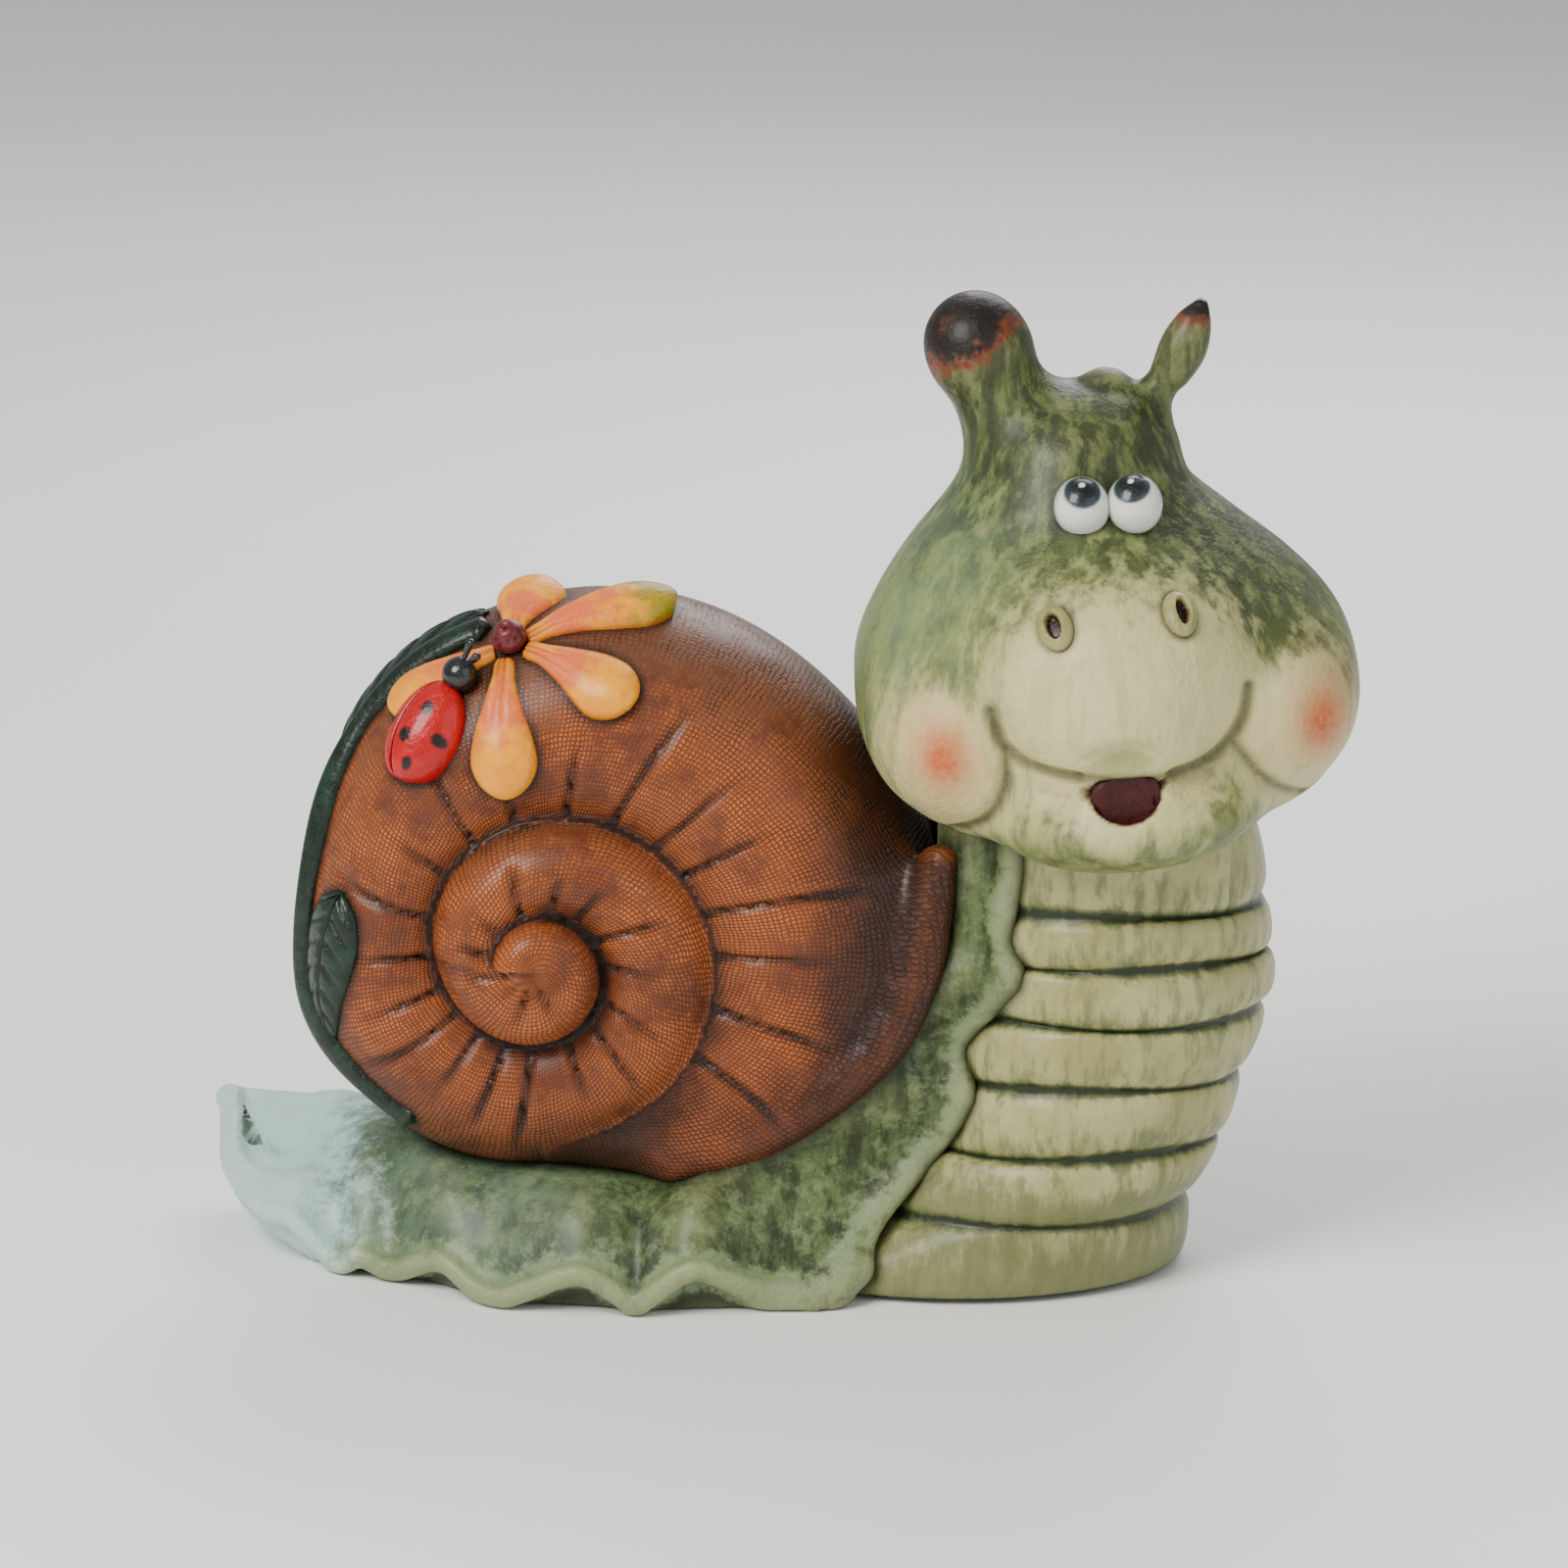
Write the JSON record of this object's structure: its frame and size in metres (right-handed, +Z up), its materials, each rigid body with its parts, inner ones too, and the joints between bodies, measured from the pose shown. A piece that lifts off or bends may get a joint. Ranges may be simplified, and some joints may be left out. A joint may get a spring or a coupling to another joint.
{
  "type": "snail figurine",
  "caption": "Cast clay snail ornament with a ribbed neck, ruffled skirt, coiled shell, stalks, and a flower and ladybird on the shell.",
  "frame": {"origin": "on the ground, in the flat sole of the foot, under the shell's front", "axes": "+X from the tail to the front of the neck, -Y to the snail's right side where its face looks, +Z up"},
  "size_m": [0.4086, 0.1894, 0.3573],
  "materials": {
    "mossy_clay": "matt green wash over pale fired clay, darker in the hollows",
    "cream_clay": "pale cream wash with dark green in the grooves",
    "copper_clay": "copper brown wash, rubbed paler on the high places, with a woven imprint",
    "white_glaze": "white paint with dark pupils",
    "leaf_glaze": "dark bluish green paint",
    "maroon_glaze": "dark red paint",
    "petal_glaze": "yellow paint shaded to pink at the flower's middle",
    "red_glaze": "glossy red paint with dark spots",
    "black_glaze": "glossy black paint"
  },
  "bodies": {
    "root": {"foot": "mossy_clay", "mantle": "mossy_clay", "ribbed_neck": "cream_clay", "head": "mossy_clay", "stalk_right": "mossy_clay", "stalk_left": "mossy_clay", "shell": "copper_clay", "shell_lip_right": "copper_clay", "shell_lip_left": "copper_clay", "eye_right": "white_glaze", "eye_left": "white_glaze", "nostril_right": "cream_clay", "nostril_left": "cream_clay", "stem": "leaf_glaze", "leaf_front": "leaf_glaze", "leaf_top": "leaf_glaze", "flower_bead": "maroon_glaze", "petal_lower_right": "petal_glaze", "petal_lower": "petal_glaze", "petal_left": "petal_glaze", "petal_upper_left": "petal_glaze", "petal_upper_right": "petal_glaze", "ladybird_body": "red_glaze", "ladybird_head": "black_glaze", "feeler_right": "black_glaze", "feeler_left": "black_glaze"}
  },
  "joints": []
}
